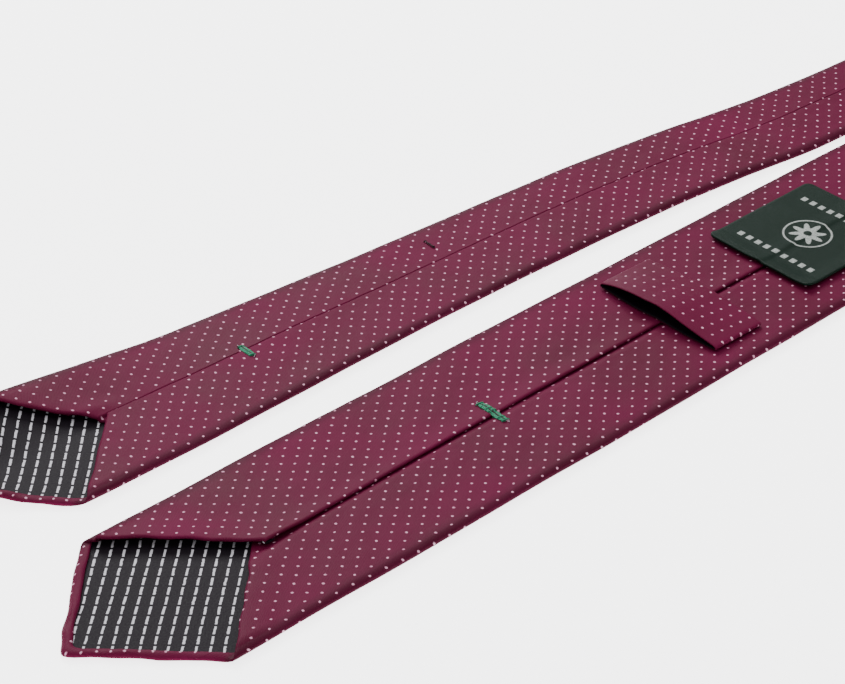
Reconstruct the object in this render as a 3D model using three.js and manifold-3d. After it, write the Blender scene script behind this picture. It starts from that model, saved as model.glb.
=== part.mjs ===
// A necktie lying folded in two, back side up: the wide blade and the narrow tail lie side by side,
// and the neck stands on its edge where the band turns round between them.
//
// Millimetres. +X runs along the blade from its point to the neck, +Y points to the tail, +Z is up.
// The origin is the middle of the blade's shoulder line, on the front face that the tie lies on.
//
// Every band piece is swept along one centre line. A place on it is (s, v, h): s is the distance along
// the centre line from the blade's shoulders, v is the distance to its right-hand side, and h is the
// height above the front face. On the blade s equals x.

import * as THREE from 'three';
import Module from 'manifold-3d';
import { mergeVertices } from 'three/addons/utils/BufferGeometryUtils.js';

// Layers of the folded band
const CLOTH = 0.6;
const CLEARANCE = 0.3;
const INTERLINING = 1.2;
const BAND = 2 * CLOTH + 2 * CLEARANCE + INTERLINING;
const FOLD_RADIUS = BAND / 2;
const SEAM_SLIT = 1.2;
const THREAD = 0.4;

// Layout of the centre line
const LEG_SPACING = 65;
const TURN_RADIUS = LEG_SPACING / 2;
const TURN_START = 665;
const TURN_END = TURN_START + Math.PI * TURN_RADIUS;
const APEX = (TURN_START + TURN_END) / 2;
const TWIST_START = 520;
const TWIST_END = 645;
const NECK_TILT = THREE.MathUtils.degToRad(84);
const tailStation = (x) => TURN_END + TURN_START - x;

// Fineness of the swept pieces
const NECK_STEP = 8;
const FLAT_STEP = 30;
const FOLD_FACETS = 4;

// Points of the two ends: the point is square, so it is as long as half the width
const BLADE_WIDTH = 82.5;
const TAIL_WIDTH = 68.5;
const TAIL_SHOULDER = tailStation(15);

// Where the band bends, and where the three cloth panels are joined
const BLADE_HINGE = 470;
const TAIL_HINGE = tailStation(480);
const BLADE_JOIN = 590;
const TAIL_JOIN = tailStation(590);

const PARTINGS = [BLADE_HINGE, BLADE_JOIN, APEX, TAIL_JOIN, TAIL_HINGE];
const half = CLEARANCE / 2;

// Sewn-on pieces; a tack is a bar of stitches of that length across the band
const BLADE_TACK = { s: 154.5, v: 0.5, length: 14.7, width: 2.5 };
const TAIL_TACK = { s: tailStation(113.6), v: 1.4, length: 8, width: 2.2 };
const TAIL_DARK_TACK = { s: tailStation(213.8), v: 15.2, length: 6.2, width: 1.4 };
const HEM_WIDTH = 4.5;
const HEM_HEIGHT = 0.9;
const TACK_HEIGHT = 0.8;
const KEEPER = { start: 242, length: 26, width: 60, centre: 0.6, cloth: 0.9, inside: 4.6 };
const LABEL = { x: 328.5, y: 0.8, length: 60, width: 52, thickness: 0.9, corner: 3 };

// Width of the folded band at stations along the centre line
const WIDTHS = [
  [-60, BLADE_WIDTH],
  [120, BLADE_WIDTH],
  [245, 81.5],
  [450, 78],
  [600, 56],
  [TURN_START, 48],
  [APEX, 45],
  [TURN_END, 42.5],
  [tailStation(560), 41],
  [tailStation(450), 43.5],
  [tailStation(341), 48],
  [tailStation(203), 53.6],
  [tailStation(118), 61],
  [TAIL_SHOULDER, TAIL_WIDTH],
  [TAIL_SHOULDER + 60, TAIL_WIDTH],
];

// The back seam isn't quite in the middle: v of the seam at stations along the centre line
const SEAM_OFFSETS = [
  [BLADE_HINGE, 0.7],
  [APEX, 0],
  [TAIL_HINGE, 2],
];

// The tail drifts away from the blade: y of its centre line at stations along it
const TAIL_CENTRES = [
  [TURN_END, LEG_SPACING],
  [tailStation(450), LEG_SPACING],
  [tailStation(395), 67.6],
  [tailStation(341), 75],
  [tailStation(290), 80.1],
  [tailStation(203), 84.7],
  [TAIL_SHOULDER, 92.3],
  [TAIL_SHOULDER + 60, 94.6],
];

// ---------------------------------------------------------------- the centre line

// A smooth curve through the points that never overshoots them
function through(points, at) {
  const last = points.length - 1;
  const slope = (i) => (points[i + 1][1] - points[i][1]) / (points[i + 1][0] - points[i][0]);
  const tangent = (i) => {
    if (i === 0 || i === last) {
      return 0;
    }
    const before = slope(i - 1);
    const after = slope(i);
    return before * after > 0 ? (2 * before * after) / (before + after) : 0;
  };
  const clamped = THREE.MathUtils.clamp(at, points[0][0], points[last][0]);
  let i = 0;
  while (i < last - 1 && clamped > points[i + 1][0]) {
    i += 1;
  }
  const span = points[i + 1][0] - points[i][0];
  const t = (clamped - points[i][0]) / span;
  const start = points[i][1];
  const end = points[i + 1][1];
  const startPull = tangent(i) * span;
  const endPull = tangent(i + 1) * span;
  const t2 = t * t;
  const t3 = t2 * t;
  return (2 * t3 - 3 * t2 + 1) * start + (t3 - 2 * t2 + t) * startPull
    + (3 * t2 - 2 * t3) * end + (t3 - t2) * endPull;
}

const widthAt = (s) => through(WIDTHS, s);
const seamAt = (s) => through(SEAM_OFFSETS, s);

// The band lies flat on both legs and is tilted onto its inner edge at the neck
function tiltAt(s) {
  const fromTurn = Math.abs(s - APEX);
  const start = APEX - TWIST_START;
  const end = APEX - TWIST_END;
  return NECK_TILT * (1 - THREE.MathUtils.smoothstep(fromTurn, end, start));
}

function centreAt(s) {
  if (s <= TURN_START) {
    return new THREE.Vector2(s, 0);
  }
  if (s <= TURN_END) {
    const angle = (s - TURN_START) / TURN_RADIUS;
    return new THREE.Vector2(
      TURN_START + TURN_RADIUS * Math.sin(angle),
      TURN_RADIUS * (1 - Math.cos(angle)),
    );
  }
  return new THREE.Vector2(TURN_START + TURN_END - s, through(TAIL_CENTRES, s));
}

// The point at (s, v, h) on the lying band
function lay(s, v, h) {
  const step = 0.5;
  const centre = centreAt(s);
  const along = centreAt(s + step).sub(centreAt(s - step)).normalize();
  const tilt = tiltAt(s);
  const outward = new THREE.Vector3(along.y, -along.x, 0);
  const up = new THREE.Vector3(0, 0, 1);
  const across = outward.clone().multiplyScalar(Math.cos(tilt)).addScaledVector(up, Math.sin(tilt));
  const normal = up.clone().multiplyScalar(Math.cos(tilt)).addScaledVector(outward, -Math.sin(tilt));
  const centreHeight = FOLD_RADIUS + (widthAt(s) / 2 - FOLD_RADIUS) * Math.sin(tilt);
  return new THREE.Vector3(centre.x, centre.y, centreHeight)
    .addScaledVector(across, v)
    .addScaledVector(normal, h - FOLD_RADIUS);
}

// ---------------------------------------------------------------- geometry helpers

function closedGeometry(positions, triangles) {
  let volume = 0;
  const corner = (i) => new THREE.Vector3().fromArray(positions, 3 * i);
  for (let i = 0; i < triangles.length; i += 3) {
    const [a, b, c] = [corner(triangles[i]), corner(triangles[i + 1]), corner(triangles[i + 2])];
    volume += a.dot(b.cross(c));
  }
  const outward = volume > 0 ? triangles : triangles.slice().reverse();
  const geometry = new THREE.BufferGeometry();
  geometry.setAttribute('position', new THREE.Float32BufferAttribute(positions, 3));
  geometry.setIndex(outward);
  return geometry;
}

// Places to put a section: close together where the band twists and turns, wider apart elsewhere, and
// on both sides of every parting, so that all layers share the same facets
const grid = [];
for (let s = -2 * FLAT_STEP; s < TAIL_SHOULDER + 2 * FLAT_STEP;) {
  grid.push(s);
  s += Math.abs(s - APEX) < APEX - TWIST_START ? NECK_STEP : FLAT_STEP;
}
const partedPlaces = PARTINGS.flatMap((s) => [s - half, s + half]);

function stations(from, to) {
  const free = grid.filter((s) => s > from + 1 && s < to - 1 && PARTINGS.every((p) => Math.abs(s - p) > 1));
  const parted = partedPlaces.filter((s) => s > from && s < to);
  return [from, ...[...free, ...parted].sort((a, b) => a - b), to];
}

// Sweeps a closed profile along the band; sectionAt(s) lists its points as [v, h]. Every layer is
// split into triangles the same way, so that layers stay parallel where the band twists.
function sweep(sectionAt, from, to) {
  const places = stations(from, to);
  const sections = places.map(sectionAt);
  const count = sections[0].length;
  const positions = sections.flatMap((section, i) => section.flatMap(([v, h]) => lay(places[i], v, h).toArray()));
  const triangles = [];
  for (let i = 0; i < places.length - 1; i += 1) {
    for (let j = 0; j < count; j += 1) {
      const a = i * count + j;
      const b = i * count + ((j + 1) % count);
      const towardsRight = sections[i][b - i * count][0] >= sections[i][j][0];
      if (towardsRight) {
        triangles.push(a, b, b + count, a, b + count, a + count);
      } else {
        triangles.push(a, b, a + count, b, b + count, a + count);
      }
    }
  }
  const end = (places.length - 1) * count;
  for (const [a, b, c] of facets(sections[0].map(([v, h]) => new THREE.Vector2(v, h)))) {
    triangles.push(c, b, a, end + a, end + b, end + c);
  }
  return closedGeometry(positions, triangles);
}

// Triangles that fill an outline, turning the same way round as it does
function facets(outline) {
  const turn = (points) => Math.sign(THREE.ShapeUtils.area(points));
  return THREE.ShapeUtils.triangulateShape(outline, []).map((facet) => {
    const same = turn(facet.map((k) => outline[k])) === turn(outline);
    return same ? facet : facet.slice().reverse();
  });
}

// A plate whose outline is drawn on the band as [s, v] points, between two heights
function plate(points, low, high) {
  const outline = points.map(([s, v]) => new THREE.Vector2(s, v));
  const count = outline.length;
  const positions = [low, high].flatMap((h) => points.flatMap(([s, v]) => lay(s, v, h).toArray()));
  const triangles = [];
  for (let j = 0; j < count; j += 1) {
    const next = (j + 1) % count;
    triangles.push(j, next, next + count, j, next + count, j + count);
  }
  for (const [a, b, c] of facets(outline)) {
    triangles.push(c, b, a, count + a, count + b, count + c);
  }
  return closedGeometry(positions, triangles);
}

const manifold = await Module();
manifold.setup();

function toSolid(geometry) {
  const merged = mergeVertices(geometry, 1e-4);
  return new manifold.Manifold(new manifold.Mesh({
    numProp: 3,
    vertProperties: new Float32Array(merged.attributes.position.array),
    triVerts: new Uint32Array(merged.index.array),
  }));
}

function cut(geometry, cutters) {
  const mesh = cutters.reduce((solid, cutter) => solid.subtract(toSolid(cutter)), toSolid(geometry)).getMesh();
  return closedGeometry(Array.from(mesh.vertProperties), Array.from(mesh.triVerts));
}

// ---------------------------------------------------------------- sections of the band

// Cloth folded round the interlining: the front face, two side folds, and two flaps along the seam
function shellSection(s) {
  const reach = widthAt(s) / 2 - FOLD_RADIUS;
  const half = (radius, side) => {
    const seamEdge = seamAt(s) + side * SEAM_SLIT / 2;
    const points = [[seamEdge, FOLD_RADIUS - radius]];
    for (let k = 0; k <= FOLD_FACETS; k += 1) {
      const angle = Math.PI * (k / FOLD_FACETS - 0.5);
      points.push([side * (reach + radius * Math.cos(angle)), FOLD_RADIUS + radius * Math.sin(angle)]);
    }
    points.push([seamEdge, FOLD_RADIUS + radius]);
    return points;
  };
  const layer = (radius) => [...half(radius, -1).reverse(), ...half(radius, 1)];
  return [...layer(FOLD_RADIUS), ...layer(FOLD_RADIUS - CLOTH).reverse()];
}

function interliningSection(s) {
  const reach = widthAt(s) / 2 - FOLD_RADIUS;
  const across = [-reach, seamAt(s) - SEAM_SLIT / 2, seamAt(s) + SEAM_SLIT / 2, reach];
  const low = CLOTH + CLEARANCE;
  const high = low + INTERLINING;
  return [...across.map((v) => [v, low]), ...across.reverse().map((v) => [v, high])];
}

function threadSection(s) {
  const left = seamAt(s) - THREAD / 2;
  const low = BAND - CLOTH;
  return [[left, low], [left + THREAD, low], [left + THREAD, low + THREAD], [left, low + THREAD]];
}

// ---------------------------------------------------------------- pointed ends

// The blade's point looks back along the centre line (direction -1), the tail's looks on (direction 1)
const BLADE_END = { shoulder: 0, width: BLADE_WIDTH, direction: -1 };
const TAIL_END = { shoulder: TAIL_SHOULDER, width: TAIL_WIDTH, direction: 1 };

// An outline drawn as [distance beyond the shoulders, v]
const beyond = (end, points) => points.map(([d, v]) => [end.shoulder + end.direction * d, v]);

function pointCutters(end) {
  const reach = end.width / 2;
  const spare = 4;
  const overTop = BAND + spare;
  const besidePoint = (side) => beyond(end, [
    [reach + spare, -side * spare],
    [-spare, side * (reach + spare)],
    [reach + spare, side * (reach + spare)],
  ]);
  const overPoint = beyond(end, [
    [-reach, seamAt(end.shoulder)],
    [spare, reach + spare],
    [reach + 2 * spare, reach + spare],
    [reach + 2 * spare, -reach - spare],
    [spare, -reach - spare],
  ]);
  return [
    plate(besidePoint(1), -spare, overTop),
    plate(besidePoint(-1), -spare, overTop),
    plate(overPoint, CLOTH + CLEARANCE / 2, overTop),
  ];
}

// The rolled edge that lies along one side of the point, on the inside of the front panel
function rolledHem(end, side) {
  const point = end.width / 2;
  const inner = point - HEM_WIDTH * Math.SQRT2;
  const mitre = CLEARANCE;
  const stop = point - FOLD_RADIUS - 2 * CLEARANCE;
  const outline = beyond(end, [
    [point - mitre, side * mitre],
    [point - stop, side * stop],
    [inner - stop, side * stop],
    [inner - mitre, side * mitre],
  ]);
  const low = CLOTH + CLEARANCE;
  return plate(outline, low, low + HEM_HEIGHT);
}

// ---------------------------------------------------------------- sewn-on pieces

const onTop = BAND + CLEARANCE;

// A bar of close stitches across the seam
function barTack(s, v, length, width) {
  const half = length / 2;
  const bevel = width / 3;
  const outline = [
    [s - width / 2, v - half + bevel], [s - width / 2 + bevel, v - half],
    [s + width / 2 - bevel, v - half], [s + width / 2, v - half + bevel],
    [s + width / 2, v + half - bevel], [s + width / 2 - bevel, v + half],
    [s - width / 2 + bevel, v + half], [s - width / 2, v + half - bevel],
  ];
  return plate(outline, onTop, onTop + TACK_HEIGHT);
}

function stadium(path, width, height) {
  const radius = height / 2;
  const reach = width / 2 - radius;
  path.absarc(reach, 0, radius, -Math.PI / 2, Math.PI / 2, false);
  path.absarc(-reach, 0, radius, Math.PI / 2, 1.5 * Math.PI, false);
  return path;
}

// A flattened ring of cloth across the blade: the narrow end is passed through it
function keeperRing() {
  const outer = stadium(new THREE.Shape(), KEEPER.width, KEEPER.inside + 2 * KEEPER.cloth);
  outer.holes.push(stadium(new THREE.Path(), KEEPER.width - 2 * KEEPER.cloth, KEEPER.inside));
  return new THREE.ExtrudeGeometry(outer, { depth: KEEPER.length, bevelEnabled: false, curveSegments: 8 });
}

function roundedRectangle(length, width, radius) {
  const [x, y] = [length / 2 - radius, width / 2 - radius];
  const shape = new THREE.Shape();
  shape.absarc(x, y, radius, 0, Math.PI / 2, false);
  shape.absarc(-x, y, radius, Math.PI / 2, Math.PI, false);
  shape.absarc(-x, -y, radius, Math.PI, 1.5 * Math.PI, false);
  shape.absarc(x, -y, radius, 1.5 * Math.PI, 2 * Math.PI, false);
  return shape;
}

function labelPatch() {
  const shape = roundedRectangle(LABEL.length, LABEL.width, LABEL.corner);
  return new THREE.ExtrudeGeometry(shape, { depth: LABEL.thickness, bevelEnabled: false, curveSegments: 4 });
}

// ---------------------------------------------------------------- assembly

const tie = new THREE.Group();

function add(parent, name, geometry, [color, roughness]) {
  const material = new THREE.MeshStandardMaterial({ color, roughness, metalness: 0 });
  const mesh = new THREE.Mesh(geometry, material);
  mesh.name = name;
  parent.add(mesh);
  return mesh;
}

const SILK = [0x76344a, 0.55];
const HEM_SILK = [0x6a2c42, 0.6];
const WOOL = [0xd8d2c6, 0.95];
const GREEN_THREAD = [0x2d7d5f, 0.5];
const DARK_THREAD = [0x3c1928, 0.6];
const LABEL_SATIN = [0x30423c, 0.45];

// The cloth, in three panels. The blade and tail panels are parted again at the hinge lines, and the
// neck panel at the apex of the turn.
const pointRoom = 3;
const bladeBlank = sweep(shellSection, -BLADE_WIDTH / 2 - pointRoom, BLADE_HINGE - half);
const tailBlank = sweep(shellSection, TAIL_HINGE + half, TAIL_SHOULDER + TAIL_WIDTH / 2 + pointRoom);
add(tie, 'blade_shell', cut(bladeBlank, pointCutters(BLADE_END)), SILK);
add(tie, 'blade_shell_upper', sweep(shellSection, BLADE_HINGE + half, BLADE_JOIN - half), SILK);
add(tie, 'neck_shell_blade_side', sweep(shellSection, BLADE_JOIN + half, APEX - half), SILK);
add(tie, 'neck_shell_tail_side', sweep(shellSection, APEX + half, TAIL_JOIN - half), SILK);
add(tie, 'tail_shell_upper', sweep(shellSection, TAIL_JOIN + half, TAIL_HINGE - half), SILK);
add(tie, 'tail_shell', cut(tailBlank, pointCutters(TAIL_END)), SILK);

// Interlining, which starts behind each notch
const notchRoom = 5;
const bladeNotch = BLADE_WIDTH / 2 + notchRoom;
const tailNotch = TAIL_SHOULDER - TAIL_WIDTH / 2 - notchRoom;
add(tie, 'blade_interlining', sweep(interliningSection, bladeNotch, BLADE_HINGE - half), WOOL);
add(tie, 'neck_interlining_blade_side', sweep(interliningSection, BLADE_HINGE + half, APEX - half), WOOL);
add(tie, 'neck_interlining_tail_side', sweep(interliningSection, APEX + half, TAIL_HINGE - half), WOOL);
add(tie, 'tail_interlining', sweep(interliningSection, TAIL_HINGE + half, tailNotch), WOOL);

// The slip stitch runs along the seam from the blade's tack to the tail's
add(tie, 'slip_stitch_blade', sweep(threadSection, BLADE_TACK.s, BLADE_HINGE - half), DARK_THREAD);
add(tie, 'slip_stitch_neck_blade_side', sweep(threadSection, BLADE_HINGE + half, APEX - half), DARK_THREAD);
add(tie, 'slip_stitch_neck_tail_side', sweep(threadSection, APEX + half, TAIL_HINGE - half), DARK_THREAD);
add(tie, 'slip_stitch_tail', sweep(threadSection, TAIL_HINGE + half, TAIL_TACK.s), DARK_THREAD);

// Rolled hems of the two points
for (const [prefix, end] of [['blade', BLADE_END], ['tail', TAIL_END]]) {
  add(tie, `${prefix}_hem_left`, rolledHem(end, -1), HEM_SILK);
  add(tie, `${prefix}_hem_right`, rolledHem(end, 1), HEM_SILK);
}

// Tacks
for (const [name, tack, finish] of [
  ['blade_bar_tack', BLADE_TACK, GREEN_THREAD],
  ['tail_bar_tack', TAIL_TACK, GREEN_THREAD],
  ['tail_dark_tack', TAIL_DARK_TACK, DARK_THREAD],
]) {
  add(tie, name, barTack(tack.s, tack.v, tack.length, tack.width), finish);
}

// Keeper: drawn across the blade, then stood up so that it is extruded along +X
const keeper = add(tie, 'keeper_loop', keeperRing(), SILK);
keeper.quaternion.setFromRotationMatrix(new THREE.Matrix4().makeBasis(
  new THREE.Vector3(0, 1, 0),
  new THREE.Vector3(0, 0, 1),
  new THREE.Vector3(1, 0, 0),
));
keeper.position.set(KEEPER.start, KEEPER.centre, onTop + KEEPER.cloth + KEEPER.inside / 2);

// Label patch
const label = add(tie, 'label', labelPatch(), LABEL_SATIN);
label.position.set(LABEL.x, LABEL.y, onTop);

export default tie;
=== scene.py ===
"""The looks of a necktie that lies folded in two, back side up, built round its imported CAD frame.

Lengths are millimetres until a mesh is made, and metres in Blender. A place on the band is (s, v, h):
s along the centre line from the blade's shoulders, v to its right-hand side, h above the front face.
"""
import math
import bpy
import numpy as np
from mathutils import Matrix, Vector


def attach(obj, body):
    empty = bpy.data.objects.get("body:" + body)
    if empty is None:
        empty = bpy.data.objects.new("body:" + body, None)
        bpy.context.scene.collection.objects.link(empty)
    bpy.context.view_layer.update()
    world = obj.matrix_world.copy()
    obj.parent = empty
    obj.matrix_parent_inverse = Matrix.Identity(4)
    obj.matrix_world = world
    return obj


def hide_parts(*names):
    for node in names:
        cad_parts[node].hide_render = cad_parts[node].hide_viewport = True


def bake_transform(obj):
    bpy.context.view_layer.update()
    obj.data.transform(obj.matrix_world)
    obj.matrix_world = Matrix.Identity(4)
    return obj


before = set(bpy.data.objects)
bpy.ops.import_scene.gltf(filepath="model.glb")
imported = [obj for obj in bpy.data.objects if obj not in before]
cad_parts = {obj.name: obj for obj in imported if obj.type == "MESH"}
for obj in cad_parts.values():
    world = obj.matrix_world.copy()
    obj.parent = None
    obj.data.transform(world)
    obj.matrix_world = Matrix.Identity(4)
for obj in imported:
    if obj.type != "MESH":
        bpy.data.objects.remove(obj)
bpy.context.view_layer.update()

MM = 0.001

# ------------------------------------------------------------------ layout, as in the CAD source
BAND = 3.0
FOLD_RADIUS = BAND / 2
LEG_SPACING = 65
TURN_RADIUS = LEG_SPACING / 2
TURN_START = 665
TURN_END = TURN_START + math.pi * TURN_RADIUS
APEX = (TURN_START + TURN_END) / 2
TWIST_START = 520
TWIST_END = 645
NECK_TILT = math.radians(84)
BLADE_WIDTH = 82.5
TAIL_WIDTH = 68.5


def tail_station(x):
    return TURN_END + TURN_START - x


TAIL_SHOULDER = tail_station(15)
BLADE_HINGE = 470
TAIL_HINGE = tail_station(480)
BLADE_JOIN = 590
TAIL_JOIN = tail_station(590)

WIDTHS = [
    (-60, BLADE_WIDTH),
    (120, BLADE_WIDTH),
    (245, 81.5),
    (450, 78),
    (600, 56),
    (TURN_START, 48),
    (APEX, 45),
    (TURN_END, 42.5),
    (tail_station(560), 41),
    (tail_station(450), 43.5),
    (tail_station(341), 48),
    (tail_station(203), 53.6),
    (tail_station(118), 61),
    (TAIL_SHOULDER, TAIL_WIDTH),
    (TAIL_SHOULDER + 60, TAIL_WIDTH),
]
# Like the CAD seam, but bending to the near side over the blade's last 110 mm
SEAM_OFFSETS = [
    (25, 3.0), (48, 2.5), (75, 1.65), (110, 1.1), (155, 0.7), (BLADE_HINGE, 0.65), (APEX, 0), (TAIL_HINGE, 2),
]
TAIL_CENTRES = [
    (TURN_END, LEG_SPACING),
    (tail_station(450), LEG_SPACING),
    (tail_station(395), 67.6),
    (tail_station(341), 75),
    (tail_station(290), 80.1),
    (tail_station(203), 84.7),
    (TAIL_SHOULDER, 92.3),
    (TAIL_SHOULDER + 60, 94.6),
]

# ------------------------------------------------------------------ cloth, as it is cut and folded
CLOTH = 0.38            # thickness of the silk
FOLD_REACH = 3.4        # how far in the soft side folds begin
SEAM_OVERLAP = 7        # how far one flap runs under the other
SEAM_TURN = 6           # allowance turned under at the upper flap's edge
HEM_LIFT = 1.55         # height of the rolled hem
WEAVE = 4.8             # size of one repeat of the interlining's weave


def smooth(t):
    t = np.clip(t, 0, 1)
    return t * t * (3 - 2 * t)


def through(points, at):
    """A smooth curve through the points that never overshoots them."""
    x, y = (np.array([p[k] for p in points], float) for k in (0, 1))
    step = np.diff(x)
    slope = np.diff(y) / step
    pull = np.zeros(len(x))
    before, after = slope[:-1], slope[1:]
    same = before * after > 0
    total = np.where(same, before + after, 1)
    pull[1:-1] = np.where(same, 2 * before * after / total, 0)
    at = np.clip(at, x[0], x[-1])
    i = np.clip(np.searchsorted(x, at, side="right") - 1, 0, len(x) - 2)
    t = (at - x[i]) / step[i]
    return (
        (2 * t**3 - 3 * t**2 + 1) * y[i] + (t**3 - 2 * t**2 + t) * pull[i] * step[i]
        + (3 * t**2 - 2 * t**3) * y[i + 1] + (t**3 - t**2) * pull[i + 1] * step[i]
    )


def width_at(s):
    return through(WIDTHS, s)


def seam_at(s):
    return through(SEAM_OFFSETS, s)


def tilt_at(s):
    far = np.abs(s - APEX)
    return NECK_TILT * (1 - smooth((far - (APEX - TWIST_END)) / (TWIST_END - TWIST_START)))


def centre_at(s):
    s = np.asarray(s, float)
    angle = (np.clip(s, TURN_START, TURN_END) - TURN_START) / TURN_RADIUS
    x = np.where(s < TURN_START, s, TURN_START + TURN_RADIUS * np.sin(angle))
    x = np.where(s > TURN_END, TURN_START + TURN_END - s, x)
    y = np.where(s > TURN_END, through(TAIL_CENTRES, s), TURN_RADIUS * (1 - np.cos(angle)))
    return np.stack([x, y], -1)


def lay(s, v, h, nv=None, nh=None):
    """The points at (s, v, h), and with (nv, nh) also the direction of that section normal."""
    s, v, h = np.broadcast_arrays(*(np.asarray(a, float) for a in (s, v, h)))
    centre = centre_at(s)
    along = centre_at(s + 0.5) - centre_at(s - 0.5)
    along /= np.linalg.norm(along, axis=-1, keepdims=True)
    tilt = tilt_at(s)
    cos, sin = np.cos(tilt), np.sin(tilt)
    right = np.stack([along[..., 1], -along[..., 0]], -1)
    across = np.concatenate([right * cos[..., None], sin[..., None]], -1)
    normal = np.concatenate([-right * sin[..., None], cos[..., None]], -1)
    lift = FOLD_RADIUS + (width_at(s) / 2 - FOLD_RADIUS) * sin
    points = np.concatenate([centre, lift[..., None]], -1)
    points = points + across * v[..., None] + normal * (h - FOLD_RADIUS)[..., None]
    if nv is None:
        return points
    return points, across * np.asarray(nv)[..., None] + normal * np.asarray(nh)[..., None]


def ripple(a, b, wave, seed):
    """A gentle, even unevenness between -1 and 1, the same each run."""
    rng = np.random.default_rng(seed)
    total = 0
    for _ in range(6):
        angle, phase = rng.uniform(0, 2 * math.pi, 2)
        length = wave * rng.uniform(0.6, 1.7)
        total = total + np.sin(2 * math.pi * (a * math.cos(angle) + b * math.sin(angle)) / length + phase)
    return total / 3


# ------------------------------------------------------------------ mesh helpers
def mesh_piece(name, points, faces, materials, face_material=None, cloth=None):
    """An object from points in millimetres; cloth holds each point's pattern coordinates."""
    mesh = bpy.data.meshes.new(name)
    mesh.from_pydata((points * MM).tolist(), [], faces)
    for material in materials:
        mesh.materials.append(material)
    if face_material is not None:
        mesh.polygons.foreach_set("material_index", np.asarray(face_material, np.int32))
    if cloth is not None:
        attribute = mesh.attributes.new("cloth", "FLOAT_VECTOR", "POINT")
        attribute.data.foreach_set("vector", np.asarray(cloth, np.float32).ravel())
    mesh.polygons.foreach_set("use_smooth", [True] * len(mesh.polygons))
    mesh.update()
    piece = bpy.data.objects.new(name, mesh)
    bpy.context.scene.collection.objects.link(piece)
    return piece


def grid_faces(rows, cols, wrap_rows=False, wrap_cols=False, start=0):
    i = np.arange(rows if wrap_rows else rows - 1)
    j = np.arange(cols if wrap_cols else cols - 1)
    i, j = (a.ravel() for a in np.meshgrid(i, j, indexing="ij"))
    i2, j2 = (i + 1) % rows, (j + 1) % cols
    return start + np.stack([i * cols + j, i * cols + j2, i2 * cols + j2, i2 * cols + j], 1)


def grid_normals(grid):
    down = np.gradient(grid, axis=0)
    over = np.gradient(grid, axis=1)
    normal = np.cross(down, over)
    return normal / np.maximum(np.linalg.norm(normal, axis=-1, keepdims=True), 1e-9)


def thick_sheet(name, grid, cloth, thickness, face_material, back_material):
    """A closed sheet of cloth round a grid of points, with rows along the band and columns across."""
    rows, cols = grid.shape[:2]
    normal = grid_normals(grid)
    outer = (grid + normal * thickness / 2).reshape(-1, 3)
    inner = (grid - normal * thickness / 2).reshape(-1, 3)
    count = rows * cols
    top = grid_faces(rows, cols)[:, ::-1]
    bottom = grid_faces(rows, cols, start=count)
    index = np.arange(count).reshape(rows, cols)
    ring = np.concatenate([index[0, :-1], index[:-1, -1], index[-1, :0:-1], index[:0:-1, 0]])
    after = np.roll(ring, -1)
    rim = np.stack([ring, after, after + count, ring + count], 1)
    faces = np.concatenate([top, bottom, rim]).tolist()
    which = np.concatenate([np.zeros(len(top)), np.ones(len(bottom)), np.zeros(len(rim))])
    points = np.concatenate([outer, inner])
    coordinates = np.concatenate([cloth.reshape(-1, 3)] * 2)
    return mesh_piece(name, points, faces, [face_material, back_material], which, coordinates)


def tube(path, radius, sides):
    """Points and faces of a closed round thread along a path."""
    along = np.gradient(path, axis=0)
    along /= np.linalg.norm(along, axis=1, keepdims=True)
    side = np.cross(along, (0.0, 0.0, 1.0))
    side /= np.maximum(np.linalg.norm(side, axis=1, keepdims=True), 1e-9)
    lift = np.cross(side, along)
    turn = np.linspace(0, 2 * math.pi, sides, endpoint=False)[None, :, None]
    ring = side[:, None] * np.cos(turn) + lift[:, None] * np.sin(turn)
    points = (path[:, None] + ring * radius).reshape(-1, 3)
    faces = grid_faces(len(path), sides, wrap_cols=True).tolist()
    last = (len(path) - 1) * sides
    faces.append(list(range(sides))[::-1])
    faces.append([last + k for k in range(sides)])
    return points, faces


def joined(parts):
    points, faces, start = [], [], 0
    for part_points, part_faces in parts:
        points.append(part_points)
        faces += [[start + k for k in face] for face in part_faces]
        start += len(part_points)
    return np.concatenate(points), faces


# ------------------------------------------------------------------ the folded section
FOLD_HEIGHT = (BAND - CLOTH) / 2


def fold_table():
    """Angle round the side fold against distance along the cloth."""
    angle = np.linspace(-math.pi / 2, math.pi / 2, 200)
    v, h = FOLD_REACH * np.cos(angle), FOLD_HEIGHT * np.sin(angle)
    distance = np.concatenate([[0], np.cumsum(np.hypot(np.diff(v), np.diff(h)))])
    return angle, distance


FOLD_ANGLE, FOLD_DISTANCE = fold_table()
FOLD_LENGTH = FOLD_DISTANCE[-1]


def front_reach(s):
    """Half the width of the flat front, up to where the side folds begin."""
    return (width_at(s) - CLOTH) / 2 - FOLD_REACH


def section(s, u):
    """v and h of the folded cloth's middle at u, the distance across the cloth from its centre."""
    side = np.where(u < 0, -1, 1)
    across = np.abs(u)
    reach = front_reach(s)
    angle = np.interp(across - reach, FOLD_DISTANCE, FOLD_ANGLE)
    v = np.where(across < reach, across, reach + FOLD_REACH * np.cos(angle))
    v = np.where(across > reach + FOLD_LENGTH, 2 * reach + FOLD_LENGTH - across, v)
    return side * v, BAND / 2 + FOLD_HEIGHT * np.sin(angle)


TUCK_START = 1.2        # how far short of the seam the under flap begins to dip

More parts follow.
